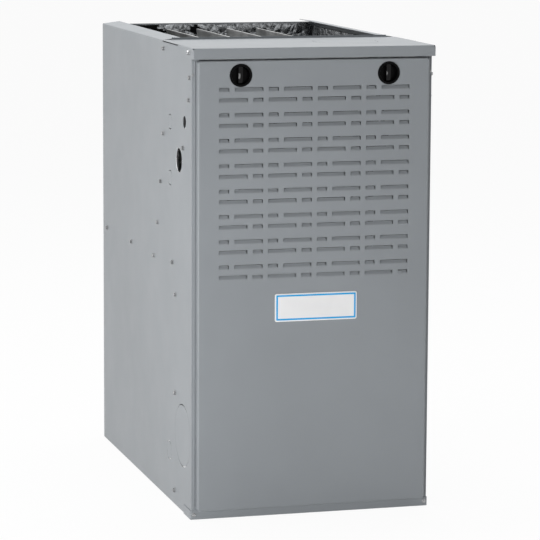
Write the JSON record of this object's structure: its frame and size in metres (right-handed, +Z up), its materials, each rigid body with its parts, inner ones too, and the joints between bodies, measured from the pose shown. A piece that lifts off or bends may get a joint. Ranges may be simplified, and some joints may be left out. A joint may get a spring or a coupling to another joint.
{
  "type": "forced air gas furnace",
  "caption": "Upflow forced air gas furnace in a tall sheet-metal cabinet with one louvered front door, an open duct outlet on top and the blower and heat exchanger inside.",
  "frame": {"origin": "centre of the bounding box's bottom face, on the floor", "axes": "+Z up, -Y towards the door, +X to the right as seen from in front of the door"},
  "size_m": [0.4474, 0.749, 0.85],
  "materials": {
    "casing_paint": "light grey baked enamel on steel sheet, faint orange peel",
    "door_paint": "the same light grey baked enamel as the casing, faint orange peel",
    "galvanised": "zinc coated sheet with a faint spangle",
    "aluminised": "aluminised steel, matt silver",
    "foil": "crinkled foil facing over glass fibre",
    "black_plastic": "glossy black moulding",
    "white_plastic": "white plate with a plain blue border",
    "dark_metal": "dark grey enamel",
    "cast_metal": "cast aluminium, matt",
    "circuit_board": "green board with black and white fittings",
    "black_rubber": "matt black",
    "bright_steel": "bright zinc plate",
    "ceramic": "off-white ceramic",
    "red_plastic": "red moulding"
  },
  "bodies": {
    "casing": {"casing_wrap": "casing_paint", "top_front_cover": "casing_paint", "front_header": "galvanised", "bottom_front_rail": "door_paint", "vestibule_panel": "aluminised", "blower_deck": "galvanised", "insulation_left": "foil", "insulation_right": "foil", "insulation_back": "foil", "side_stiffener_left": "galvanised", "side_stiffener_right": "galvanised", "heat_exchanger_cell_1": "aluminised", "heat_exchanger_cell_2": "aluminised", "heat_exchanger_cell_3": "aluminised", "heat_exchanger_cell_4": "aluminised", "burner_1": "aluminised", "burner_2": "aluminised", "burner_3": "aluminised", "burner_4": "aluminised", "collector_box": "aluminised", "inducer_housing": "dark_metal", "inducer_motor": "dark_metal", "vent_collar": "galvanised", "burner_bracket": "galvanised", "gas_manifold": "dark_metal", "gas_valve": "cast_metal", "igniter": "ceramic", "flame_sensor": "ceramic", "rollout_switch": "bright_steel", "limit_switch": "bright_steel", "pressure_switch": "black_plastic", "pressure_hose": "black_rubber", "junction_box": "galvanised", "control_bracket": "galvanised", "control_board": "circuit_board", "transformer": "dark_metal", "run_capacitor": "galvanised", "door_switch_body": "black_plastic", "wiring_harness": "black_rubber", "blower_housing": "galvanised", "blower_rail_left": "galvanised", "blower_rail_right": "galvanised", "blower_motor": "dark_metal", "motor_mount": "galvanised"},
    "door": {"door": "door_paint", "door_insulation_pad": "foil", "nameplate": "white_plastic", "latch_cup_left": "black_plastic", "latch_cup_right": "black_plastic"},
    "latch_left": {"latch_grip_left": "black_plastic", "latch_cam_left": "bright_steel"},
    "latch_right": {"latch_grip_right": "black_plastic", "latch_cam_right": "bright_steel"},
    "blower_rotor": {"blower_wheel": "galvanised", "blower_shaft": "bright_steel"},
    "inducer_rotor": {"inducer_wheel": "galvanised", "inducer_shaft": "bright_steel"},
    "gas_valve_knob": {"gas_valve_knob": "black_plastic"},
    "door_switch_plunger": {"door_switch_plunger": "white_plastic"},
    "rollout_reset_button": {"rollout_reset_button": "red_plastic"}
  },
  "joints": [
    {"name": "door_tilt", "type": "hinge", "parent": "casing", "child": "door", "pos_m": [0, -0.3587, 0.0162], "axis": [1, 0, 0], "range_deg": [0, 20]},
    {"name": "latch_left_turn", "type": "hinge", "parent": "door", "child": "latch_left", "pos_m": [-0.1365, -0.3587, 0.7975], "axis": [0, -1, 0], "range_deg": [0, 90]},
    {"name": "latch_right_turn", "type": "hinge", "parent": "door", "child": "latch_right", "pos_m": [0.1365, -0.3587, 0.7975], "axis": [0, 1, 0], "range_deg": [0, 90]},
    {"name": "blower_spin", "type": "hinge", "parent": "casing", "child": "blower_rotor", "pos_m": [0, 0.1125, 0.245], "axis": [1, 0, 0], "continuous": true},
    {"name": "inducer_spin", "type": "hinge", "parent": "casing", "child": "inducer_rotor", "pos_m": [0.0275, -0.22, 0.742], "axis": [0, 1, 0], "continuous": true},
    {"name": "gas_valve_knob_turn", "type": "hinge", "parent": "casing", "child": "gas_valve_knob", "pos_m": [-0.1225, -0.2695, 0.675], "axis": [0, 0, 1], "range_deg": [0, 90]},
    {"name": "door_switch_press", "type": "slide", "parent": "casing", "child": "door_switch_plunger", "axis": [0, 1, 0], "range_m": [0, 0.003], "stiffness_N_per_m": 300},
    {"name": "rollout_reset_press", "type": "slide", "parent": "casing", "child": "rollout_reset_button", "axis": [0, 1, 0], "range_m": [0, 0.0015], "stiffness_N_per_m": 300}
  ]
}
